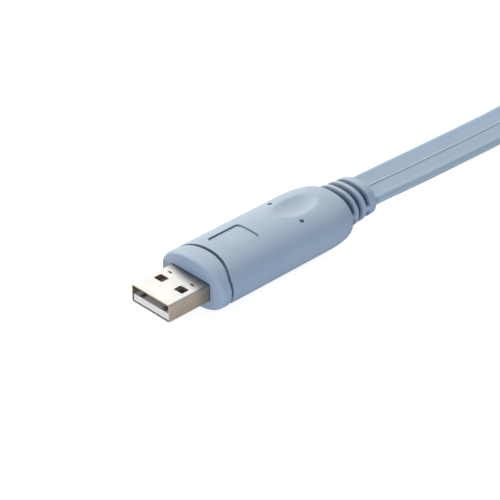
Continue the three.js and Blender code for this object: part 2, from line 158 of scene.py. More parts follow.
# %% [markdown]
# ## Materials
# Every finish here has its own colour, roughness and fine bump. Pictures could carry them, but
# each piece would have to be unwrapped first. Noise on object coordinates needs no unwrapping, and
# it stays put on its piece. These helpers add a node, a noise, a range, a tint and a bump.

# %% Helpers for nodes
def new_material(name):
    """A material made of nodes, with its tree and its shader."""
    material = bpy.data.materials.new(name)
    material.use_nodes = True
    tree = material.node_tree
    shader = tree.nodes["Principled BSDF"]
    return material, tree, shader


def add(tree, kind, inputs=None, **settings):
    """A new node, with values for its sockets and its settings."""
    node = tree.nodes.new(kind)
    for key, value in settings.items():
        setattr(node, key, value)
    for key, value in (inputs or {}).items():
        node.inputs[key].default_value = value
    return node


def noise_of(tree, scale, detail=4.0, stretch=(1, 1, 1)):
    """Noise in object space; scale is in cells per metre."""
    place = add(tree, "ShaderNodeTexCoord")
    mapping = add(tree, "ShaderNodeMapping", {"Scale": stretch})
    noise = add(tree, "ShaderNodeTexNoise", {"Scale": scale, "Detail": detail, "Roughness": 0.55})
    tree.links.new(place.outputs["Object"], mapping.inputs["Vector"])
    tree.links.new(mapping.outputs["Vector"], noise.inputs["Vector"])
    return noise


def varied(tree, source, low, high, to, start=0.35, stop=0.65):
    """The source's value, spread between low and high, into a socket."""
    spread = add(tree, "ShaderNodeMapRange", {
        "From Min": start, "From Max": stop, "To Min": low, "To Max": high})
    tree.links.new(source, spread.inputs["Value"])
    tree.links.new(spread.outputs["Result"], to)


def tinted(tree, source, first, last, to, start=0.3, stop=0.7):
    """The source's value as a colour from first to last, into a socket."""
    ramp = add(tree, "ShaderNodeValToRGB")
    ramp.color_ramp.elements[0].position, ramp.color_ramp.elements[0].color = start, (*first, 1)
    ramp.color_ramp.elements[1].position, ramp.color_ramp.elements[1].color = stop, (*last, 1)
    tree.links.new(source, ramp.inputs["Fac"])
    tree.links.new(ramp.outputs["Color"], to)


def bumped(tree, shader, source, depth, strength=1.0):
    """The source's value as a fine relief of the surface; depth is in metres."""
    bump = add(tree, "ShaderNodeBump", {"Strength": strength, "Distance": depth})
    tree.links.new(source, bump.inputs["Height"])
    tree.links.new(bump.outputs["Normal"], shader.inputs["Normal"])


# %% [markdown]
# ## Blue elastomer
# The moulded end and the cord's jacket are one satin blue. One flat colour would look like a
# drawing, so the colour drifts slowly and a fine grain breaks the shine. Two attributes of the
# meshes paint light into the colour: one darkens grooves with painted shade, and the other puts a
# painted highlight on the ribbon's edges and its ridge.

# %% Housing blue and cord blue
# The colour of painted shade in grooves, seams, holes and steps.
PAINTED_SHADE_COLOUR = (0.035, 0.07, 0.13, 1)


def moulded(name, dark, light, roughness, grain, depth, specular, highlight_colour=None):
    """Moulded plastic: slow drift of colour, fine grain, painted shade in grooves, painted highlight on
    rims.
    """
    material, tree, shader = new_material(name)
    drift = noise_of(tree, 60, 3)
    fine = noise_of(tree, grain, 3)
    # Painted shade: the dark colour is mixed in as far as each vertex's shade attribute says.
    shade_mask = add(tree, "ShaderNodeAttribute", attribute_name="painted_shade")
    darker = add(tree, "ShaderNodeMix", {"B": PAINTED_SHADE_COLOUR}, data_type="RGBA")
    tree.links.new(shade_mask.outputs["Fac"], darker.inputs["Factor"])
    tinted(tree, drift.outputs["Fac"], dark, light, darker.inputs["A"])
    colour = darker
    # Painted highlight: a paler colour mixed in as far as each vertex's highlight attribute says.
    if highlight_colour:
        painted_highlight = add(tree, "ShaderNodeAttribute", attribute_name="painted_highlight")
        colour = add(tree, "ShaderNodeMix", {"B": (*highlight_colour, 1)}, data_type="RGBA")
        tree.links.new(painted_highlight.outputs["Fac"], colour.inputs["Factor"])
        tree.links.new(darker.outputs["Result"], colour.inputs["A"])
    tree.links.new(colour.outputs["Result"], shader.inputs["Base Color"])
    varied(tree, fine.outputs["Fac"], roughness - 0.05, roughness + 0.05, shader.inputs["Roughness"])
    bumped(tree, shader, fine.outputs["Fac"], depth)
    shader.inputs["Specular IOR Level"].default_value = specular
    return material


housing_look = moulded("housing_blue", (0.318, 0.384, 0.458), (0.346, 0.410, 0.480),
                       roughness=0.55, grain=6500, depth=0.00002, specular=0.35)
ribbon_look = moulded("cord_blue", (0.275, 0.358, 0.452), (0.302, 0.385, 0.477),
                      roughness=0.42, grain=2600, depth=0.000015, specular=0.4,
                      highlight_colour=(0.385, 0.455, 0.515))
print("materials:", [m.name for m in bpy.data.materials])


# %% [markdown]
# ## Making pieces
# The mouldings are closed bodies with hardly a sharp corner. Blocks could be cut and bevelled, but
# a bowed seam and a soft dish would leave them rough. `wrapped` rolls a grid into a closed skin
# instead: columns run round it, rows run along it, and a function places each vertex.
# `finish_piece` makes a mesh a piece of the object.

# %% A mesh as a piece, and a grid as a skin
MERGE = 1e-7         # vertices closer than this, in metres, become one


def finish_piece(name, mesh_builder, material, sharp):
    """A mesh as a piece that rides the part, smooth where its faces turn less than sharp degrees."""
    mesh = bpy.data.meshes.new(name)
    mesh_builder.to_mesh(mesh)
    mesh_builder.free()
    mesh.shade_smooth()
    mesh.set_sharp_from_angle(angle=math.radians(sharp))
    piece = bpy.data.objects.new(name, mesh)
    scene.collection.objects.link(piece)
    mesh.materials.append(material)
    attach(piece, "root")
    return piece


def wrapped(row_count, column_count, place):
    """place(row, column) gives each vertex in millimetres, with its painted shade from 0 to 1."""
    builder = bmesh.new()
    painted_shade = builder.verts.layers.float.new("painted_shade")
    bmesh.ops.create_grid(builder, x_segments=column_count, y_segments=row_count - 1, size=1.0)
    for vertex in builder.verts:
        column = round((vertex.co.x + 1) / 2 * column_count) % column_count
        row = round((vertex.co.y + 1) / 2 * (row_count - 1))
        x, y, z, vertex[painted_shade] = place(row, column)
        vertex.co = Vector((x, y, z)) * MM
    bmesh.ops.remove_doubles(builder, verts=builder.verts, dist=MERGE)
    rims = [edge for edge in builder.edges if edge.is_boundary]
    if rims:
        bmesh.ops.holes_fill(builder, edges=rims, sides=0)
    bmesh.ops.recalc_face_normals(builder, faces=builder.faces)
    return builder


# %% [markdown]
# ## The ribbon
# The jacket is a flat strip with a round bead along each edge and a fine ridge along its middle. It
# could be extruded step by step. A curve with a profile sweeps it at once, and takes the ribbon's
# roll as the tilt of each point. The sweep is then made a mesh, so that a painted highlight can be
# written on it.

# %% The ribbon's profile
FLAT_HALF = 1.0      # half thickness between the beads along the ribbon's edges
FLAT_INSETS = (1.2, 0.7)         # points of the flat, as distances from the middle of a bead
BEAD_STEPS = 12
RIDGE = [(0.5, 0.0), (0.32, 0.0), (0.26, 0.05), (0.16, 0.12), (0.05, 0.15), (-0.05, 0.15),
         (-0.16, 0.12), (-0.26, 0.05), (-0.32, 0.0), (-0.5, 0.0)]
# Painted highlight: ridge points higher than the first value take the second, the beads at least the
# third.
RIDGE_TOP, RIDGE_HIGHLIGHT, BEAD_HIGHLIGHT = 0.1, 0.8, 0.3   # points above the first value are pale


def ribbon_profile():
    """Points of the profile, and how much painted highlight each takes."""
    bead, middle = RIBBON_THICKNESS / 2, RIBBON_WIDTH / 2 - RIBBON_THICKNESS / 2
    points = [(x, FLAT_HALF + y, RIDGE_HIGHLIGHT if y > RIDGE_TOP else 0.0) for x, y in RIDGE]
    for side in (-1, 1):
        points += [(side * (middle - x), -side * FLAT_HALF, 0.0) for x in FLAT_INSETS]
        for k in range(BEAD_STEPS + 1):
            angle = math.pi * (k / BEAD_STEPS - side / 2)
            points.append((side * middle + bead * math.cos(angle), bead * math.sin(angle),
                           BEAD_HIGHLIGHT + (1 - BEAD_HIGHLIGHT) * abs(math.cos(angle))))
        points += [(side * (middle - x), side * FLAT_HALF, 0.0) for x in reversed(FLAT_INSETS)]
    return points


profile_data = bpy.data.curves.new("ribbon_profile", "CURVE")
profile_data.dimensions = "2D"
outline = profile_data.splines.new("POLY")
profile_points = ribbon_profile()
outline.points.add(len(profile_points) - 1)
for point, (x, y, _) in zip(outline.points, profile_points):
    point.co = (x * MM, y * MM, 0, 1)
outline.use_cyclic_u = True
profile = bpy.data.objects.new("ribbon_profile", profile_data)
scene.collection.objects.link(profile)
print("profile:", len(profile_points), "points")

# %% The sweep
sweep_data = bpy.data.curves.new("ribbon_sweep", "CURVE")
sweep_data.dimensions = "3D"
sweep_data.twist_mode = "Z_UP"
sweep_data.bevel_mode = "OBJECT"
sweep_data.bevel_object = profile
sweep_data.use_fill_caps = True
line = sweep_data.splines.new("POLY")
line.points.add(len(route) - 1)
for point, row, place in zip(line.points, route, places):
    point.co = (*place, 1)
    point.tilt = row[3]
sweep = bpy.data.objects.new("ribbon_sweep", sweep_data)
scene.collection.objects.link(sweep)
bpy.context.view_layer.update()

swept = bmesh.new()
evaluated = sweep.evaluated_get(bpy.context.evaluated_depsgraph_get())
swept.from_mesh(evaluated.to_mesh())
evaluated.to_mesh_clear()
print("swept vertices:", len(swept.verts), "=", len(route), "x", len(profile_points))

# %% The ribbon as a piece
# Each vertex takes its profile point's painted highlight.
painted_highlight = swept.verts.layers.float.new("painted_highlight")
for number, vertex in enumerate(swept.verts):
    vertex[painted_highlight] = profile_points[number % len(profile_points)][2]
bmesh.ops.remove_doubles(swept, verts=swept.verts, dist=MERGE)
bmesh.ops.recalc_face_normals(swept, faces=swept.faces)
bpy.data.objects.remove(sweep)
bpy.data.objects.remove(profile)
ribbon = finish_piece("ribbon_cord", swept, ribbon_look, sharp=35)
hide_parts("ribbon_lead", "ribbon_hank", "ribbon_tail")
print("ribbon:", len(ribbon.data.polygons), "faces")


# %% [markdown]
# ## The moulded end
# The nose, the housing and the strain relief share one section, flatter than an ellipse and
# rounder than a box. A box with large bevels would show where each bevel ends. A superellipse has
# no such line. `unit_section` is that section with half sizes of one, and `ray_to_slot` finds an
# opening's edge in a direction.

# %% The shared section
SECTION_POWER = 2.25
COLUMNS = 208
HALF_WIDTH, HALF_HEIGHT, EDGE = 9.85, 5.85, 1.3
SEARCH_REACH, SEARCH_STEPS = 40.0, 40


def unit_section(angle):
    """A point of the superellipse with half sizes of one."""
    c, s = math.cos(angle), math.sin(angle)
    return (math.copysign(abs(c) ** (2 / SECTION_POWER), c),
            math.copysign(abs(s) ** (2 / SECTION_POWER), s))


def smooth_step(low, high, value):
    """From 0 at low to 1 at high, level at both ends."""
    t = min(1.0, max(0.0, (value - low) / (high - low)))
    return t * t * (3 - 2 * t)


def ray_to_slot(y, z, half_width, half_height, corner):
    """Where the ray from the middle through (y, z) meets a rounded rectangle."""
    low, high = 0.0, SEARCH_REACH
    size = math.hypot(y, z)
    dy, dz = y / size, z / size
    for _ in range(SEARCH_STEPS):
        middle = (low + high) / 2
        py = max(abs(dy) * middle - (half_width - corner), 0.0)
        pz = max(abs(dz) * middle - (half_height - corner), 0.0)
        if math.hypot(py, pz) < corner:
            low = middle
        else:
            high = middle
    return dy * low, dz * low


ANGLES = [2 * math.pi * k / COLUMNS for k in range(COLUMNS)]
SECTION = [unit_section(angle) for angle in ANGLES]
print("columns of the section:", len(SECTION))


# %% [markdown]
# ## Seam
# The nose is a separate moulding, so a seam parts it from the housing, and it bows back over the
# crown and under the belly. It could be a groove cut with a bent ring. Both skins run into it with
# a small rounding instead, and their painted shade deepens on the way.

# %% The seam's path, lips and shade
SEAM_SIDE, SEAM_CROWN, SEAM_FLAT, SEAM_RISE, SEAM_POWER = 3.42, 2.1, 2.6, 3.3, 1.5
SEAM_WIDTH, SEAM_SHADE, SEAM_SHADE_DEPTH = 0.8, 0.25, 0.3
LIP, LIP_DROP = 0.22, 0.12       # rounding beside the seam: its length, and its depth at the seam
LIP_PLACES = (0.22, 0.14, 0.07, 0.03, 0.0)
WALL_DEPTHS = (0.12, 0.3, 0.6, 0.9)


def seam_at(height):
    """Distance of the seam's middle from the nose, at a height above or below the middle."""
    rise = min(1.0, max(0.0, abs(height) - SEAM_FLAT) / SEAM_RISE)
    return SEAM_SIDE + SEAM_CROWN * rise ** SEAM_POWER


def lip_depth(distance):
    """How far the rounding beside the seam lies below the skin."""
    return LIP_DROP * (1 - distance / LIP) ** 2


def seam_shade(depth):
    """Painted shade at a depth in the seam."""
    return SEAM_SHADE * smooth_step(0.0, SEAM_SHADE_DEPTH, depth)


print("seam:", round(seam_at(0.0), 2), "mm behind the nose at the side,",
      round(seam_at(HALF_HEIGHT), 2), "mm at the crown")


# %% [markdown]
# ## Nose
# The nose is a cap round the steel shell. It could be a bevelled slice with a slot cut out, but the
# bevel would have to follow a bowed rear edge. As a skin it has rows that run from the pocket round
# the shell over the front face, the rounding and the side into the seam.

# %% Rows of the nose
FRONT_STEPS, EDGE_STEPS, SIDE_STEPS = 7, 9, 8
CREASE = 0.42        # part of the quarter turn at which the rounding leaves the front face
POCKET = (6.05, 2.3, 0.6)        # half width, half height and corner
POCKET_FLARE = 0.006
POCKET_SHADE, FRONT_SHADE, FRONT_FADE = 0.3, 0.1, 6
CREASE_DROP = EDGE * (1 - math.sin(math.pi / 2 * CREASE))
CREASE_BACK = EDGE * (1 - math.cos(math.pi / 2 * CREASE))
LIP_MARGIN = 0.3
nose_rows = [("pocket", x) for x in (2.0, 1.0, 0.12, 0.0)]
nose_rows += [("front", k / FRONT_STEPS) for k in range(1, FRONT_STEPS + 1)]
nose_rows += [("edge", CREASE + (1 - CREASE) * k / EDGE_STEPS) for k in range(1, EDGE_STEPS + 1)]
nose_rows += [("side", k / SIDE_STEPS) for k in range(1, SIDE_STEPS)]
nose_rows += [("lip", a) for a in LIP_PLACES]
nose_rows += [("wall", d) for d in WALL_DEPTHS]
print("rows of the nose:", len(nose_rows))


# %% The nose as a piece
def nose_place(row, column):
    kind, value = nose_rows[row]
    u, v = SECTION[column]
    if kind in ("pocket", "front"):
        wide, tall = HALF_WIDTH - CREASE_DROP, HALF_HEIGHT - CREASE_DROP
        shade = POCKET_SHADE if kind == "pocket" else FRONT_SHADE * (1 - value) ** FRONT_FADE
        outer = (wide * u, tall * v + HOUSING_MIDDLE)
        y, z = ray_to_slot(outer[0], outer[1] - SHELL_MIDDLE, *POCKET)
        if kind == "pocket":
            grow = 1.0 + (POCKET_FLARE if value == 0.0 else 0.0)
            return NOSE_X + value, y * grow, SHELL_MIDDLE + z * grow, shade
        return (NOSE_X + CREASE_BACK * value ** 2, y + (outer[0] - y) * value,
                z + SHELL_MIDDLE + (outer[1] - z - SHELL_MIDDLE) * value, shade)
    if kind == "edge":
        turn = math.pi / 2 * value
        drop = EDGE * (1 - math.sin(turn))
        return (NOSE_X + EDGE * (1 - math.cos(turn)), (HALF_WIDTH - drop) * u,
                HOUSING_MIDDLE + (HALF_HEIGHT - drop) * v, 0.0)
    seam = seam_at(HALF_HEIGHT * v) - SEAM_WIDTH / 2
    if kind == "side":
        x = EDGE + (seam - LIP_MARGIN - EDGE) * value
        return NOSE_X + x, HALF_WIDTH * u, HOUSING_MIDDLE + HALF_HEIGHT * v, 0.0
    depth = value if kind == "wall" else lip_depth(value)
    x = seam if kind == "wall" else seam - value
    return (NOSE_X + x, (HALF_WIDTH - depth) * u, HOUSING_MIDDLE + (HALF_HEIGHT - depth) * v,
            seam_shade(depth))


nose_builder = wrapped(len(nose_rows), COLUMNS, nose_place)
nose_skin = finish_piece("nose_skin", nose_builder, housing_look, sharp=28)
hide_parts("nose_cap")
print("nose:", len(nose_skin.data.polygons), "faces")

# %% [markdown]
# ## Housing
# The housing has a shallow recessed panel, a thumb dish and two small lamp holes on top. All could
# be cut out, but the panel and the dish have soft edges, so they lower the skin's own vertices and
# only the holes are cut. Rows and columns lie closer round the panel's edge, and rows also at the
# dish and the rear, where the outline draws in.

# %% The outline from above
SHOULDER, LENGTH = 33.2, 43.3
REAR_WIDTH, REAR_HEIGHT, REAR_BOW = 6.8, 4.8, 2.5


def outline_at(x):
    """Half width and half height of the housing's outline at x, measured from the nose."""
    if x <= SHOULDER:
        return HALF_WIDTH, HALF_HEIGHT
    along = min(1.0, (x - SHOULDER) / (LENGTH - SHOULDER))
    full = math.sqrt(max(0.0, 1 - along ** REAR_BOW))
    return (REAR_WIDTH + (HALF_WIDTH - REAR_WIDTH) * full,
            REAR_HEIGHT + (HALF_HEIGHT - REAR_HEIGHT) * full)


print("half width and height at the middle and the rear:", outline_at(LENGTH / 2), outline_at(LENGTH))


# %% Columns and rows of the housing
COLUMN_GAP = 0.012       # least angle between a panel column and an ordinary one
WALL_END, BLEND_STEPS = 1.7, 6
# Where each zone of rows starts, and the distance between its rows. The last entry ends them.
ZONES = [(6.6, 0.3), (8.05, 0.05), (8.35, 0.15), (9.4, 0.5), (16.4, 0.15), (17.45, 0.05),
         (17.75, 0.6), (25.0, 0.3), (39.0, 0.25), (42.0, 0.1), (43.2, 0.07), (43.27, 0.03), (LENGTH, 0)]


def spread(start, stop, step):
    """Even places from start to just short of stop, about a step apart."""
    count = max(1, round((stop - start) / step))
    return [start + (stop - start) * k / count for k in range(count)]


def angle_for(y):
    """Column angle at which the top of the section is y to one side."""
    return math.acos(math.copysign((abs(y) / HALF_WIDTH) ** (SECTION_POWER / 2), y))


panel_sides = spread(2.5, 3.55, 0.15) + spread(3.55, 3.85, 0.05) + [3.85, 3.95]
panel_angles = [angle_for(side * y) for side in (-1, 1) for y in panel_sides]
other_angles = [a for a in ANGLES if all(abs(a - b) > COLUMN_GAP for b in panel_angles)]
housing_angles = sorted({round(a, 5) for a in panel_angles + other_angles})
housing_section = [unit_section(angle) for angle in housing_angles]
stations = [x for (start, step), (stop, _) in zip(ZONES, ZONES[1:]) for x in spread(start, stop, step)]
stations.append(LENGTH)
housing_rows = [("wall", d) for d in (WALL_END, *reversed(WALL_DEPTHS))]
housing_rows += [("lip", a) for a in reversed(LIP_PLACES)]
housing_rows += [("blend", k / BLEND_STEPS) for k in range(1, BLEND_STEPS)]
housing_rows += [("at", x) for x in stations] + [("back", share) for share in (0.94, 0.7)]
print("housing columns:", len(housing_angles), "rows:", len(housing_rows))


# %% Panel and dish
PANEL_START, PANEL_END, PANEL_HALF, PANEL_CORNER, PANEL_DEPTH = 8.2, 17.6, 3.7, 1.0, 0.35
PANEL_MARGIN = 0.5
STEP_INSIDE, STEP_OUTSIDE = -0.14, 0.06          # between them the skin falls to the panel
RIDGE_HEIGHT, RIDGE_PLACE, RIDGE_SPREAD = 0.05, 0.16, 0.1
STEP_SHADE, SHADE_PLACE, SHADE_SPREAD = 0.75, -0.06, 0.11
DISH_X, DISH_LENGTH, DISH_WIDTH, DISH_DEPTH, DISH_SPHERE = 32.2, 6.1, 4.2, 0.85, 3.2
DISH_BLEND = 0.3


def panel_depth(x, y):
    """How far the panel lies below the skin, and the shade of the step round it."""
    px = abs(x - (PANEL_START + PANEL_END) / 2) - ((PANEL_END - PANEL_START) / 2 - PANEL_CORNER)
    py = abs(y) - (PANEL_HALF - PANEL_CORNER)
    outside = math.hypot(max(px, 0), max(py, 0)) + min(max(px, py), 0) - PANEL_CORNER
    ridge = RIDGE_HEIGHT * math.exp(-((outside - RIDGE_PLACE) / RIDGE_SPREAD) ** 2)
    shade = STEP_SHADE * math.exp(-((outside - SHADE_PLACE) / SHADE_SPREAD) ** 2)
    return PANEL_DEPTH * (1 - smooth_step(STEP_INSIDE, STEP_OUTSIDE, outside)) - ridge, shade


def dish_floor(x, y):
    """Height of the thumb dish at a point, or None outside it."""
    lift = DISH_SPHERE - DISH_DEPTH
    cut = math.sqrt(1 - (lift / DISH_SPHERE) ** 2)
    part = 1 - ((x - DISH_X) / (DISH_LENGTH / cut)) ** 2 - (y / (DISH_WIDTH / cut)) ** 2
    if part <= 0:
        return None
    return HOUSING_MIDDLE + HALF_HEIGHT + lift - DISH_SPHERE * math.sqrt(part)


def softer_lower(a, b, blend):
    """The lower of two heights, with the step between them rounded."""
    h = min(1.0, max(0.0, 0.5 + 0.5 * (b - a) / blend))
    return b * (1 - h) + a * h - blend * h * (1 - h)


panel_middle = (PANEL_START + PANEL_END) / 2
print("the panel lies", panel_depth(panel_middle, 0)[0], "mm deep, the dish's floor at",
      round(dish_floor(DISH_X, 0), 2), "mm")


# %% The housing's skin
BACK_SHADE, TOP_SIDE = 0.6, 0.5


def housing_place(row, column):
    kind, value = housing_rows[row]
    u, v = housing_section[column]
    seam = seam_at(HALF_HEIGHT * v) + SEAM_WIDTH / 2
    if kind in ("wall", "lip"):
        depth = value if kind == "wall" else lip_depth(value)
        x = seam if kind == "wall" else seam + value
        return (NOSE_X + x, (HALF_WIDTH - depth) * u, HOUSING_MIDDLE + (HALF_HEIGHT - depth) * v,
                seam_shade(depth))
    if kind == "back":
        return (NOSE_X + LENGTH, REAR_WIDTH * value * u,
                HOUSING_MIDDLE + REAR_HEIGHT * value * v, BACK_SHADE)
    x = seam + LIP + (stations[0] - seam - LIP) * value if kind == "blend" else value
    wide, tall = outline_at(x)
    y, z = wide * u, HOUSING_MIDDLE + tall * v
    painted_shade = 0.0
    if v > TOP_SIDE:
        if PANEL_START - PANEL_MARGIN < x < PANEL_END + PANEL_MARGIN:
            lower, painted_shade = panel_depth(x, y)
            z -= lower
        floor_z = dish_floor(x, y)
        if floor_z is not None:
            z = softer_lower(z, floor_z, DISH_BLEND)
    return NOSE_X + x, y, z, painted_shade


housing_builder = wrapped(len(housing_rows), len(housing_angles), housing_place)
housing_skin = finish_piece("housing_skin", housing_builder, housing_look, sharp=60)
print("housing:", len(housing_skin.data.polygons), "faces before the holes")

# %% The lamp holes
LAMP_X, LAMP_OFFSET, LAMP_RADIUS, DRILL_LENGTH, DRILL_RISE = 29.1, 5.05, 0.55, 6.0, 0.5
for side in (-1, 1):
    drill_builder = bmesh.new()
    painted_shade = drill_builder.verts.layers.float.new("painted_shade")
    centre = Vector((NOSE_X + LAMP_X, side * LAMP_OFFSET, HOUSING_MIDDLE + HALF_HEIGHT + DRILL_RISE))
    bmesh.ops.create_cone(
        drill_builder, cap_ends=True, segments=28, radius1=LAMP_RADIUS * MM,
        radius2=LAMP_RADIUS * MM, depth=DRILL_LENGTH * MM, matrix=Matrix.Translation(centre * MM))
    # The drill carries full painted shade, which darkens the holes' walls after the cut.
    for vertex in drill_builder.verts:
        vertex[painted_shade] = 1.0
    drill_mesh = bpy.data.meshes.new("drill")
    drill_builder.to_mesh(drill_mesh)
    drill_builder.free()
    drill = bpy.data.objects.new("drill", drill_mesh)
    scene.collection.objects.link(drill)
    drill_mesh.materials.append(housing_look)
    hole = housing_skin.modifiers.new("hole", "BOOLEAN")
    hole.operation, hole.solver, hole.object = "DIFFERENCE", "EXACT", drill
    bpy.context.view_layer.update()
    cut_mesh = bpy.data.meshes.new_from_object(
        housing_skin.evaluated_get(bpy.context.evaluated_depsgraph_get()))
    housing_skin.modifiers.clear()
    housing_skin.data = cut_mesh
    bpy.data.objects.remove(drill)
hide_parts("housing")
print("housing:", len(housing_skin.data.polygons), "faces")

# %% [markdown]
# ## Strain relief
# Three grooves let this tapered end bend with the cord. The first and the third stop at a small
# bridge on each side. Rings could cut them, but each groove has one steep wall and one long soft
# one. Rows that dip towards a core follow that shape, and carry its shade with them.

# %% Rows of the strain relief
RELIEF_START, RELIEF_END, RELIEF_EDGE = 43.6, 52.9, 0.6
RELIEF_FRONT, RELIEF_BACK, CORE = (6.6, 4.7), (5.95, 4.15), (5.2, 3.3)
GROOVES, GROOVE_FIRST, GROOVE_PITCH, GROOVE_MARGIN = 3, 43.45, 2.75, 0.4
LAST_ROWS, ROUND_STEPS, FACE_STEPS = (51.2, 51.8, 52.15), 8, 4
# Across a groove: distance from its start, and depth and shade as parts of the whole.
GROOVE_PROFILE = [(-0.06, 0.0, 0.0), (-0.01, 0.015, 0.2), (0.04, 0.06, 0.7), (0.07, 0.3, 1.0),
                  (0.1, 0.8, 1.0), (0.2, 1.0, 1.0), (0.5, 1.0, 1.0), (0.85, 1.0, 1.0),
                  (1.15, 0.85, 0.92), (1.4, 0.55, 0.74), (1.58, 0.3, 0.46), (1.74, 0.12, 0.18),
                  (1.86, 0.03, 0.04), (1.98, 0.0, 0.0)]
relief_rows = [("core", RELIEF_START, share, 1.0) for share in (0.55, 0.9)]
for k in range(GROOVES):
    start = GROOVE_FIRST + k * GROOVE_PITCH
    if k > 0:
        relief_rows += [("skin", start - GROOVE_MARGIN, 0.0, 0.0)]
    relief_rows += [("bridged" if k != 1 else "ring", start + dx, depth, shade)
                    for dx, depth, shade in GROOVE_PROFILE if start + dx >= RELIEF_START]
relief_rows += [("skin", x, 0.0, 0.0) for x in LAST_ROWS]
relief_rows += [("edge", k / ROUND_STEPS, 0.0, 0.0) for k in range(ROUND_STEPS + 1)]
relief_rows += [("face", k / FACE_STEPS, 0.0, 0.0) for k in range(1, FACE_STEPS + 1)]
relief_rows += [("entry", x, 0.0, 1.0) for x in (0.1, 0.8, 2.0)]
print("rows of the strain relief:", len(relief_rows))


# %% The strain relief as a piece
BRIDGE, BRIDGE_BLEND = 0.8, 0.25
ENTRY_GAP, ENTRY_CORNER = 0.12, 1.15
ENTRY_SHADE, ENTRY_FADE = 0.6, 6


def relief_size(x):
    """Half width and half height of the taper at x."""
    part = min(1.0, (x - RELIEF_START) / (RELIEF_END - RELIEF_EDGE - RELIEF_START))
    return [a + (b - a) * part for a, b in zip(RELIEF_FRONT, RELIEF_BACK)]


def entry_point(y, z):
    """The ribbon's pocket, turned by the ribbon's roll, met from the middle through (y, z)."""
    roll, drop = LEAD[0][3], LEAD[0][2] - SHELL_MIDDLE
    cy = y * math.cos(roll) + (z - drop) * math.sin(roll)
    cz = -y * math.sin(roll) + (z - drop) * math.cos(roll)
    py, pz = ray_to_slot(cy, cz, RIBBON_WIDTH / 2 + ENTRY_GAP,
                         RIBBON_THICKNESS / 2 + ENTRY_GAP, ENTRY_CORNER)
    return (py * math.cos(roll) - pz * math.sin(roll),
            py * math.sin(roll) + pz * math.cos(roll) + drop)


def relief_place(row, column):
    kind, value, depth, shade = relief_rows[row]
    u, v = SECTION[column]
    if kind == "core":
        return NOSE_X + value, CORE[0] * depth * u, SHELL_MIDDLE + CORE[1] * depth * v, shade
    if kind in ("skin", "ring", "bridged"):
        wide, tall = relief_size(value)
        if kind == "bridged":
            part = smooth_step(BRIDGE - BRIDGE_BLEND, BRIDGE + BRIDGE_BLEND, abs(tall * v))
            depth, shade = depth * part, shade * part
        return (NOSE_X + value, (wide + (CORE[0] - wide) * depth) * u,
                SHELL_MIDDLE + (tall + (CORE[1] - tall) * depth) * v, shade)
    wide, tall = RELIEF_BACK
    turn = math.pi / 2 * (value if kind == "edge" else 1.0)
    drop = RELIEF_EDGE * (1 - math.cos(turn))
    y, z = (wide - drop) * u, (tall - drop) * v
    if kind == "edge":
        return (NOSE_X + RELIEF_END - RELIEF_EDGE + RELIEF_EDGE * math.sin(turn), y,
                SHELL_MIDDLE + z, 0.0)
    ey, ez = entry_point(y, z)
    if kind == "entry":
        return NOSE_X + RELIEF_END - value, ey, SHELL_MIDDLE + ez, shade
    return (NOSE_X + RELIEF_END, y + (ey - y) * value, SHELL_MIDDLE + z + (ez - z) * value,
            ENTRY_SHADE * value ** ENTRY_FADE)


relief_builder = wrapped(len(relief_rows), COLUMNS, relief_place)
relief_skin = finish_piece("relief_skin", relief_builder, housing_look, sharp=60)
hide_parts("strain_relief")
print("relief:", len(relief_skin.data.polygons), "faces")


# %% [markdown]
# ## Metal, insulator and contacts
# The shell is folded sheet steel round a moulded insulator with four contacts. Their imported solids
# have the right shapes, but edges that no real part has. They could be modelled again. A copy whose
# sharp edges are bevelled is exact and short, and weighted normals keep its flat faces flat.

# %% Copies with broken edges
FLAT_ANGLE, SHARP_ANGLE = 1.0, 30.0      # degrees: faces that are one, and edges that are broken


def edged_copy(name, node_name, width, material):
    """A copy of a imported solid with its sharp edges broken, and its flat faces shaded flat."""
    builder = bmesh.new()
    builder.from_mesh(nodes[node_name].data)
    bmesh.ops.transform(builder, matrix=nodes[node_name].matrix_world, verts=builder.verts)
    bmesh.ops.remove_doubles(builder, verts=builder.verts, dist=MERGE)
    bmesh.ops.dissolve_limit(builder, angle_limit=math.radians(FLAT_ANGLE),
                             verts=builder.verts, edges=builder.edges)
    sharp_edges = [e for e in builder.edges if len(e.link_faces) == 2
                   and e.calc_face_angle(0.0) > math.radians(SHARP_ANGLE)]
    bmesh.ops.bevel(builder, geom=sharp_edges, offset=width * MM, offset_type="OFFSET", segments=2,
                    profile=0.5, affect="EDGES", clamp_overlap=True, material=-1)
    bmesh.ops.recalc_face_normals(builder, faces=builder.faces)
    piece = finish_piece(name, builder, material, sharp=40)
    weighted = piece.modifiers.new("weighted", "WEIGHTED_NORMAL")
    weighted.keep_sharp, weighted.weight = True, 100
    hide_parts(node_name)
    return piece


# %% [markdown]
# ## Steel
# The shell's steel is brushed on its sides. Its colour carries painted light as well: bright where
# it faces up or down, warmer on its sides, and a painted reflection of the dark nose towards the
# nose. An image could say all this. The face's normal and its place along the shell say it without
# one, so nothing has to be unwrapped.

# %% The shell's steel
# Where the painted reflection of the dark nose begins and is full, and the slant of its edge.
NOSE_SHADE_START, NOSE_SHADE_END, NOSE_SHADE_SLANT = NOSE_X - 3.6, NOSE_X - 0.7, -0.18


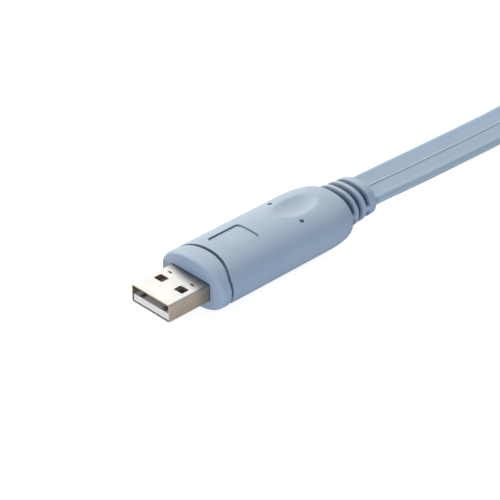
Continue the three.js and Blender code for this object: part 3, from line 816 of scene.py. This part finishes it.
def sheet_steel(name):
    """Plated sheet steel, with painted light: bright above and below, warm on its sides, darker near the
    nose.
    """
    material, tree, shader = new_material(name)
    shader.inputs["Metallic"].default_value = 1.0
    stain = noise_of(tree, 420, 4)
    grain = noise_of(tree, 2600, 3, (0.25, 1, 4))
    facing = add(tree, "ShaderNodeNewGeometry")
    apart = add(tree, "ShaderNodeSeparateXYZ")
    tree.links.new(facing.outputs["True Normal"], apart.inputs["Vector"])
    upward = add(tree, "ShaderNodeMath", operation="ABSOLUTE")
    tree.links.new(apart.outputs["Z"], upward.inputs[0])
    # Painted light: faces that point up or down take the bright colour, the sides a warmer one.
    mix = add(tree, "ShaderNodeMix", data_type="RGBA")
    tree.links.new(upward.outputs["Value"], mix.inputs["Factor"])
    tinted(tree, grain.outputs["Fac"], (0.50, 0.405, 0.31), (0.70, 0.57, 0.435), mix.inputs["A"])
    tinted(tree, stain.outputs["Fac"], (0.515, 0.512, 0.502), (0.57, 0.568, 0.562), mix.inputs["B"])
    # Painted reflection of the dark nose: darker towards the nose, most on faces that point up or down.
    place = add(tree, "ShaderNodeTexCoord")
    slanted = add(tree, "ShaderNodeVectorMath", {1: (1.0, NOSE_SHADE_SLANT, 0.0)}, operation="DOT_PRODUCT")
    tree.links.new(place.outputs["Object"], slanted.inputs[0])
    nose_shade = add(tree, "ShaderNodeMapRange", {
        "From Min": NOSE_SHADE_START * MM, "From Max": NOSE_SHADE_END * MM, "To Min": 0.0, "To Max": 0.7},
        interpolation_type="SMOOTHSTEP")
    tree.links.new(slanted.outputs["Value"], nose_shade.inputs["Value"])
    weight = add(tree, "ShaderNodeMath", {1: 0.6, 2: 0.4}, operation="MULTIPLY_ADD")
    tree.links.new(upward.outputs["Value"], weight.inputs[0])
    loss = add(tree, "ShaderNodeMath", operation="MULTIPLY")
    tree.links.new(nose_shade.outputs["Result"], loss.inputs[0])
    tree.links.new(weight.outputs["Value"], loss.inputs[1])
    kept = add(tree, "ShaderNodeMath", {0: 1.0}, operation="SUBTRACT")
    tree.links.new(loss.outputs["Value"], kept.inputs[1])
    darker = add(tree, "ShaderNodeVectorMath", operation="SCALE")
    tree.links.new(mix.outputs["Result"], darker.inputs[0])
    tree.links.new(kept.outputs["Value"], darker.inputs["Scale"])
    tree.links.new(darker.outputs["Vector"], shader.inputs["Base Color"])
    varied(tree, grain.outputs["Fac"], 0.34, 0.42, shader.inputs["Roughness"])
    bumped(tree, shader, grain.outputs["Fac"], 0.000002, 0.25)
    return material


# %% [markdown]
# ## Insulator
# The white moulding looks darker the deeper it lies in the mouth. Shadow gives a part of that,
# and painted shade gives the rest: the colour darkens along the plug, into the mouth.

# %% The insulator's plastic
# Where the painted shade in the mouth begins and where it is full.
MOUTH_SHADE_START, MOUTH_SHADE_END = NOSE_X - 10.0, NOSE_X - 7.2


def mouth_shaded(name, light, dark, start, stop, roughness):
    """Moulded plastic with painted shade, going from light to dark along x."""
    material, tree, shader = new_material(name)
    place = add(tree, "ShaderNodeTexCoord")
    apart = add(tree, "ShaderNodeSeparateXYZ")
    tree.links.new(place.outputs["Object"], apart.inputs["Vector"])
    depth = add(tree, "ShaderNodeMapRange", {"From Min": start, "From Max": stop})
    tree.links.new(apart.outputs["X"], depth.inputs["Value"])
    cloud = noise_of(tree, 900, 3)
    shade = add(tree, "ShaderNodeMapRange", {"To Min": 0.9, "To Max": 1.05})
    tree.links.new(cloud.outputs["Fac"], shade.inputs["Value"])
    mix = add(tree, "ShaderNodeVectorMath", operation="SCALE")
    tinted(tree, depth.outputs["Result"], light, dark, mix.inputs[0], 0.0, 1.0)
    tree.links.new(shade.outputs["Result"], mix.inputs["Scale"])
    tree.links.new(mix.outputs["Vector"], shader.inputs["Base Color"])
    varied(tree, cloud.outputs["Fac"], roughness - 0.06, roughness + 0.06, shader.inputs["Roughness"])
    bumped(tree, shader, cloud.outputs["Fac"], 0.00001)
    return material


# %% [markdown]
# ## Plating
# The contacts are gold plated. The four on the insulator are darker and browner, which is painted
# shade from the shell round them. Wear could be painted by hand. Noise gives the thin spots, and
# noise drawn out along x gives scratches in the direction of sliding.

# %% Plated contacts
def plated(name, bright, worn, roughness):
    """Plating that is thinner in spots and scratched along x."""
    material, tree, shader = new_material(name)
    shader.inputs["Metallic"].default_value = 1.0
    wear = noise_of(tree, 1500, 4)
    scratch = noise_of(tree, 5000, 2, (0.1, 1, 1))
    tinted(tree, wear.outputs["Fac"], worn, bright, shader.inputs["Base Color"], 0.35, 0.6)
    varied(tree, scratch.outputs["Fac"], roughness - 0.07, roughness + 0.1, shader.inputs["Roughness"])
    bumped(tree, shader, scratch.outputs["Fac"], 0.000008)
    return material


steel_look = sheet_steel("shell_steel")
# The insulator's colour darkens into the mouth with painted shade.
tongue_look = mouth_shaded("insulator_white", (0.76, 0.68, 0.62), (0.60, 0.51, 0.44),
                        MOUTH_SHADE_START * MM, MOUTH_SHADE_END * MM, roughness=0.42)
gold_look = plated("contact_gold", (0.62, 0.44, 0.16), (0.34, 0.26, 0.15), roughness=0.3)
# Painted shade: the insulator's contacts take a darker, browner gold, near the shaded insulator.
shaded_gold_look = plated("contact_gold_shaded", (0.55, 0.46, 0.36), (0.28, 0.23, 0.17), roughness=0.45)
print("finishes:", [look.name for look in (steel_look, tongue_look, gold_look, shaded_gold_look)])

# %% Shell, insulator and contacts
shell_skin = edged_copy("shell_skin", "usb_shell", 0.07, steel_look)
tongue_skin = edged_copy("tongue_skin", "usb_tongue", 0.05, tongue_look)
for number in range(1, 5):
    contact = edged_copy(f"usb_contact_skin_{number}", f"usb_contact_{number}", 0.06, shaded_gold_look)
print("shell:", len(shell_skin.data.polygons), "faces; tongue:", len(tongue_skin.data.polygons))


# %% [markdown]
# ## Straps round the hank
# Two straps of hook and loop tape hold the hank. Cloth could be simulated, but a strap that is
# pulled tight has a plain path. It goes once round its side of the hank, and laps over itself on
# top and down one side. A band's section is carried along that path.

# %% The path of a strap
STRAP_HALF, STRAP_THICK, STRAP_CORNER, STRAP_GAP = 4.0, 0.5, 1.1, 0.3
TURN_HALF = RIBBON_THICKNESS / 2 + 0.4           # half a turn's thickness, with some room
HANK_LOW, HANK_HIGH = HANK_HEIGHT - RIBBON_WIDTH / 2, HANK_HEIGHT + RIBBON_WIDTH / 2


def rounded_loop(low_y, high_y, grow, distance):
    """Point and outward direction at a distance along a rounded loop in the YZ plane."""
    half_y, half_z = (high_y - low_y) / 2 + STRAP_GAP, (HANK_HIGH - HANK_LOW) / 2 + STRAP_GAP
    flat_y, flat_z = half_y - STRAP_CORNER, half_z - STRAP_CORNER
    bend = STRAP_CORNER * math.pi / 2
    pieces = [("top", flat_y), ("turn", bend), ("side", 2 * flat_z), ("turn", bend), ("low", 2 * flat_y),
              ("turn", bend), ("back", 2 * flat_z), ("turn", bend), ("top_again", flat_y)]
    total = sum(length for _, length in pieces)
    left = distance % total
    centre = Vector(((low_y + high_y) / 2, (HANK_LOW + HANK_HIGH) / 2))
    place, angle = Vector((0.0, half_z)), math.pi / 2
    for kind, length in pieces:
        step = min(left, length)
        out = Vector((math.cos(angle), math.sin(angle)))
        if kind == "turn":
            middle = place - out * STRAP_CORNER
            angle -= step / STRAP_CORNER
            out = Vector((math.cos(angle), math.sin(angle)))
            place = middle + out * STRAP_CORNER
        else:
            place = place + Vector((out.y, -out.x)) * step
        left -= step
        if left <= 1e-9:
            break
    return centre + place + out * grow, out, total


near_sides = (HANK_MIDDLE + reach_of_run(HALF_TURNS - 1) - TURN_HALF,
              HANK_MIDDLE + reach_of_run(0) + TURN_HALF)
far_sides = (HANK_MIDDLE - reach_of_run(1) - TURN_HALF,
             HANK_MIDDLE - reach_of_run(HALF_TURNS - 2) + TURN_HALF)
print("once round:", [round(rounded_loop(*sides, 0.0, 0.0)[2], 1) for sides in (near_sides, far_sides)])


# %% The band
STRAP_EDGE, EDGE_POINTS = 0.2, 4
LAP_PAST_TOP, ROW_LENGTH = 8.5, 0.45
LAP_GAP, LAP_RAMP, LAP_SETTLED = 0.06, 3.0, 0.3  # the band lifts along the ramp to pass over its start
TIP_LENGTH, TIP_NARROWING = 1.5, 0.12


def strap_section():
    """Points of a flat band's section, with rounded edges: across the width, and outwards."""
    half, corner = STRAP_THICK / 2, STRAP_EDGE
    points = []
    for quadrant, (cx, cy) in enumerate(((1, 1), (-1, 1), (-1, -1), (1, -1))):
        for k in range(EDGE_POINTS):
            angle = math.pi / 2 * (quadrant + k / (EDGE_POINTS - 1))
            points.append((cx * (STRAP_HALF - corner) + corner * math.cos(angle),
                           cy * (half - corner) + corner * math.sin(angle)))
    return points


def strap(name, low_y, high_y, node_name, material):
    """A band round the turns between two y places, lapping over its own start."""
    section = strap_section()
    total = rounded_loop(low_y, high_y, 0.0, 0.0)[2]
    lap = (high_y - low_y) / 2 + LAP_PAST_TOP
    rows = round((total + lap) / ROW_LENGTH)
    middle = HANK_START + HANK_RUN / 2

    def place(row, column):
        distance = (total + lap) * row / (rows - 1)
        lifted = smooth_step(total - LAP_RAMP, total + LAP_SETTLED, distance)
        grow = STRAP_THICK / 2 + (STRAP_THICK + LAP_GAP) * lifted
        centre, out, _ = rounded_loop(low_y, high_y, grow, distance)
        across, outward = section[column]
        narrow = 1.0 - TIP_NARROWING * smooth_step(total + lap - TIP_LENGTH, total + lap, distance)
        point = centre + out * outward
        return middle + across * narrow, point.x, point.y, 0.0

    band = finish_piece(name, wrapped(rows, len(section), place), material, sharp=50)
    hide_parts(node_name)
    return band


print("points of the band's section:", len(strap_section()))


# %% [markdown]
# ## Tape
# The tape is a fuzzy black weave. Real fibres would be heavy for two small straps. Noise over small
# cells stands in for them, and sheen gives the soft rim that cloth has.

# %% Black tape, and the two straps
def woven(name, dark, light):
    """Hook and loop tape: fuzzy loops over a fine weave, with lighter worn tufts."""
    material, tree, shader = new_material(name)
    tufts = noise_of(tree, 1900, 5)
    weave = add(tree, "ShaderNodeTexVoronoi", {"Scale": 1500.0})
    place = add(tree, "ShaderNodeTexCoord")
    tree.links.new(place.outputs["Object"], weave.inputs["Vector"])
    height = add(tree, "ShaderNodeMath", operation="ADD")
    tree.links.new(tufts.outputs["Fac"], height.inputs[0])
    tree.links.new(weave.outputs["Distance"], height.inputs[1])
    tinted(tree, tufts.outputs["Fac"], dark, light, shader.inputs["Base Color"], 0.4, 0.7)
    varied(tree, tufts.outputs["Fac"], 0.8, 0.95, shader.inputs["Roughness"])
    shader.inputs["Sheen Weight"].default_value = 0.25
    bumped(tree, shader, height.outputs["Value"], 0.00025)
    return material


strap_look = woven("strap_black", (0.012, 0.013, 0.016), (0.055, 0.058, 0.065))
straps = [strap("strap_1", *near_sides, "tie_1", strap_look),
          strap("strap_2", *far_sides, "tie_2", strap_look)]
print("straps:", [len(s.data.polygons) for s in straps], "faces")

# %% [markdown]
# ## The far plug
# A clear moulding holds eight insulated wires, each ending over its blade. The wires could be eight
# pieces with eight finishes. They are one mesh instead, whose colour steps from wire to wire, since
# they are seen only through the moulding.

# %% Clear plastic, and insulation in eight colours
def clear_plastic(name):
    """Clear moulding with faint flow marks and a slightly frosted surface."""
    material, tree, shader = new_material(name)
    flow = noise_of(tree, 300, 3, (0.3, 1, 1))
    fine = noise_of(tree, 3500, 2)
    tinted(tree, flow.outputs["Fac"], (0.86, 0.90, 0.93), (0.94, 0.96, 0.97),
           shader.inputs["Base Color"])
    varied(tree, fine.outputs["Fac"], 0.06, 0.16, shader.inputs["Roughness"])
    shader.inputs["Transmission Weight"].default_value = 0.92
    shader.inputs["IOR"].default_value = 1.5
    bumped(tree, shader, flow.outputs["Fac"], 0.00002)
    return material


def banded(name, colours, start, pitch):
    """Insulation whose colour steps from wire to wire along y."""
    material, tree, shader = new_material(name)
    place = add(tree, "ShaderNodeTexCoord")
    apart = add(tree, "ShaderNodeSeparateXYZ")
    tree.links.new(place.outputs["Object"], apart.inputs["Vector"])
    part = add(tree, "ShaderNodeMapRange", {
        "From Min": start, "From Max": start + pitch * len(colours)})
    tree.links.new(apart.outputs["Y"], part.inputs["Value"])
    ramp = add(tree, "ShaderNodeValToRGB")
    ramp.color_ramp.interpolation = "CONSTANT"
    for number, colour in enumerate(colours):
        stop = ramp.color_ramp.elements[0] if number == 0 else ramp.color_ramp.elements.new(
            number / len(colours))
        stop.color = (*colour, 1)
    ramp.color_ramp.elements.remove(ramp.color_ramp.elements[-1])
    tree.links.new(part.outputs["Result"], ramp.inputs["Fac"])
    tree.links.new(ramp.outputs["Color"], shader.inputs["Base Color"])
    fine = noise_of(tree, 4000, 2)
    varied(tree, fine.outputs["Fac"], 0.35, 0.5, shader.inputs["Roughness"])
    bumped(tree, shader, fine.outputs["Fac"], 0.00001)
    return material


BLADE_PITCH = 1.02
WIRE_COLOURS = [
    (0.45, 0.46, 0.48), (0.55, 0.18, 0.03), (0.02, 0.02, 0.025), (0.50, 0.02, 0.02),
    (0.03, 0.22, 0.05), (0.70, 0.50, 0.03), (0.04, 0.10, 0.40), (0.75, 0.75, 0.73)]
clear_look = clear_plastic("plug_clear")
wire_look = banded("cord_blue_wires", WIRE_COLOURS,
                   (HANK_MIDDLE - len(WIRE_COLOURS) / 2 * BLADE_PITCH) * MM, BLADE_PITCH * MM)
print("finishes:", clear_look.name, wire_look.name)

# %% The moulding and its blades
plug_skin = edged_copy("plug_skin", "modular_plug", 0.12, clear_look)
for number in range(1, 9):
    blade = edged_copy(f"plug_contact_skin_{number}", f"plug_contact_{number}", 0.04, gold_look)

# %% The wires, and what hangs on the cord
PLUG_REAR, WIRE_RADIUS, WIRE_LENGTH, WIRE_RISE = 131.7, 0.42, 16.6, 3.1
WIRE_MIDDLE = PLUG_REAR - 11.7
wires_builder = bmesh.new()
for number in range(len(WIRE_COLOURS)):
    y = HANK_MIDDLE + (number - (len(WIRE_COLOURS) - 1) / 2) * BLADE_PITCH
    along_x = Matrix.Rotation(math.pi / 2, 4, "Y")
    bmesh.ops.create_cone(
        wires_builder, cap_ends=True, segments=16, radius1=WIRE_RADIUS * MM,
        radius2=WIRE_RADIUS * MM, depth=WIRE_LENGTH * MM,
        matrix=Matrix.Translation(Vector((WIRE_MIDDLE, y, WIRE_RISE)) * MM) @ along_x)
bmesh.ops.remove_doubles(wires_builder, verts=wires_builder.verts, dist=MERGE)
wires = finish_piece("plug_wires", wires_builder, wire_look, sharp=50)
print("wires:", len(wires.data.polygons), "faces")


# %% [markdown]
# ## Light, floor and background
# The cable lies in soft light on a pure white ground. The white could be put behind it afterwards.
# Here a wide floor glows, mostly for the camera alone, so it is white and its glow hardly reaches
# the cable. The room is bright behind and above the cable, and dim and bluish in front of it.

# %% Lights
def soft_box(name, place, target, size, power, colour):
    """A round area light that faces its target."""
    data = bpy.data.lights.new(name, "AREA")
    data.shape, data.size, data.energy, data.color = "DISK", size, power, colour
    light = bpy.data.objects.new(name, data)
    light.location = Vector(place)
    light.rotation_euler = (Vector(place) - Vector(target)).to_track_quat("Z", "Y").to_euler()
    scene.collection.objects.link(light)


soft_box("key", (0.10, 0.62, 0.50), (0.0, 0.0, 0.0), size=0.4, power=5.6, colour=(1.0, 0.975, 0.92))
soft_box("fill", (-0.62, -0.44, 0.04), (-0.02, 0.0, 0.0), size=0.2, power=3.9, colour=(0.74, 0.84, 1.0))
print("lights:", [light.name for light in bpy.data.lights])

# %% The room
world = bpy.data.worlds.new("studio")
scene.world = world
world.use_nodes = True
sky = world.node_tree
background = sky.nodes["Background"]
towards = add(sky, "ShaderNodeTexCoord")
bright_side = add(sky, "ShaderNodeVectorMath", {1: (0.48, 0.66, 0.58)}, operation="DOT_PRODUCT")
sky.links.new(towards.outputs["Generated"], bright_side.inputs[0])
tinted(sky, bright_side.outputs["Value"], (0.21, 0.275, 0.39), (1.0, 0.98, 0.93),
       background.inputs["Color"], 0.05, 0.8)
background.inputs["Strength"].default_value = 1.15
scene.view_settings.view_transform = "Standard"
print("room strength:", round(background.inputs["Strength"].default_value, 3))

# %% The floor
floor_builder = bmesh.new()
bmesh.ops.create_grid(floor_builder, x_segments=1, y_segments=1, size=3.0)
floor_mesh = bpy.data.meshes.new("floor")
floor_builder.to_mesh(floor_mesh)
floor_builder.free()
floor = bpy.data.objects.new("floor", floor_mesh)
scene.collection.objects.link(floor)
floor_look, floor_tree, floor_shader = new_material("floor_white")
floor_shader.inputs["Base Color"].default_value = (0.62, 0.65, 0.68, 1)
floor_shader.inputs["Roughness"].default_value = 0.9
floor_shader.inputs["Specular IOR Level"].default_value = 0.1
floor_shader.inputs["Emission Color"].default_value = (1.0, 0.97, 0.93, 1)
seen = add(floor_tree, "ShaderNodeLightPath")
glow = add(floor_tree, "ShaderNodeMath", {1: 0.66, 2: 0.17}, operation="MULTIPLY_ADD")
floor_tree.links.new(seen.outputs["Is Camera Ray"], glow.inputs[0])
floor_tree.links.new(glow.outputs["Value"], floor_shader.inputs["Emission Strength"])
floor_mesh.materials.append(floor_look)
print("floor:", floor_look.name)
